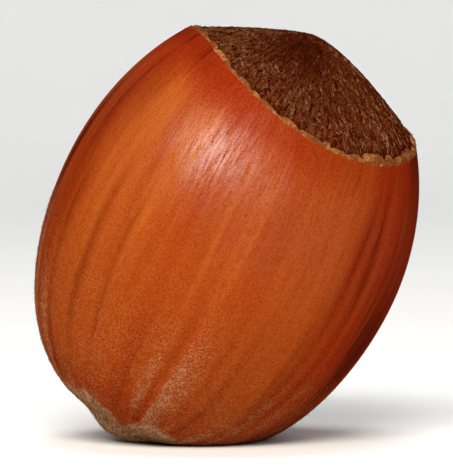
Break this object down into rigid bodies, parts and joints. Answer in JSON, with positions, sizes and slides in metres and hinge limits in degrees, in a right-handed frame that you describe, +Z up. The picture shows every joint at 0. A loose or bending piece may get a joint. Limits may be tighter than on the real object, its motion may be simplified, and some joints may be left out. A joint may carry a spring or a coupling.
{
  "type": "hazelnut",
  "caption": "Whole hazelnut in its brown woody shell, with a toothed edge round the fibrous scar at its base and a downy tip, leaning on a small flat spot.",
  "frame": {"origin": "on the surface that the nut rests on, below the middle of its box", "axes": "+Z up, +X the way the scar end leans, -Y the side that faces the viewer"},
  "size_m": [0.0194, 0.017, 0.0211],
  "materials": {
    "shell": "satin"
  },
  "bodies": {
    "root": {"hazelnut": "shell"}
  },
  "joints": []
}
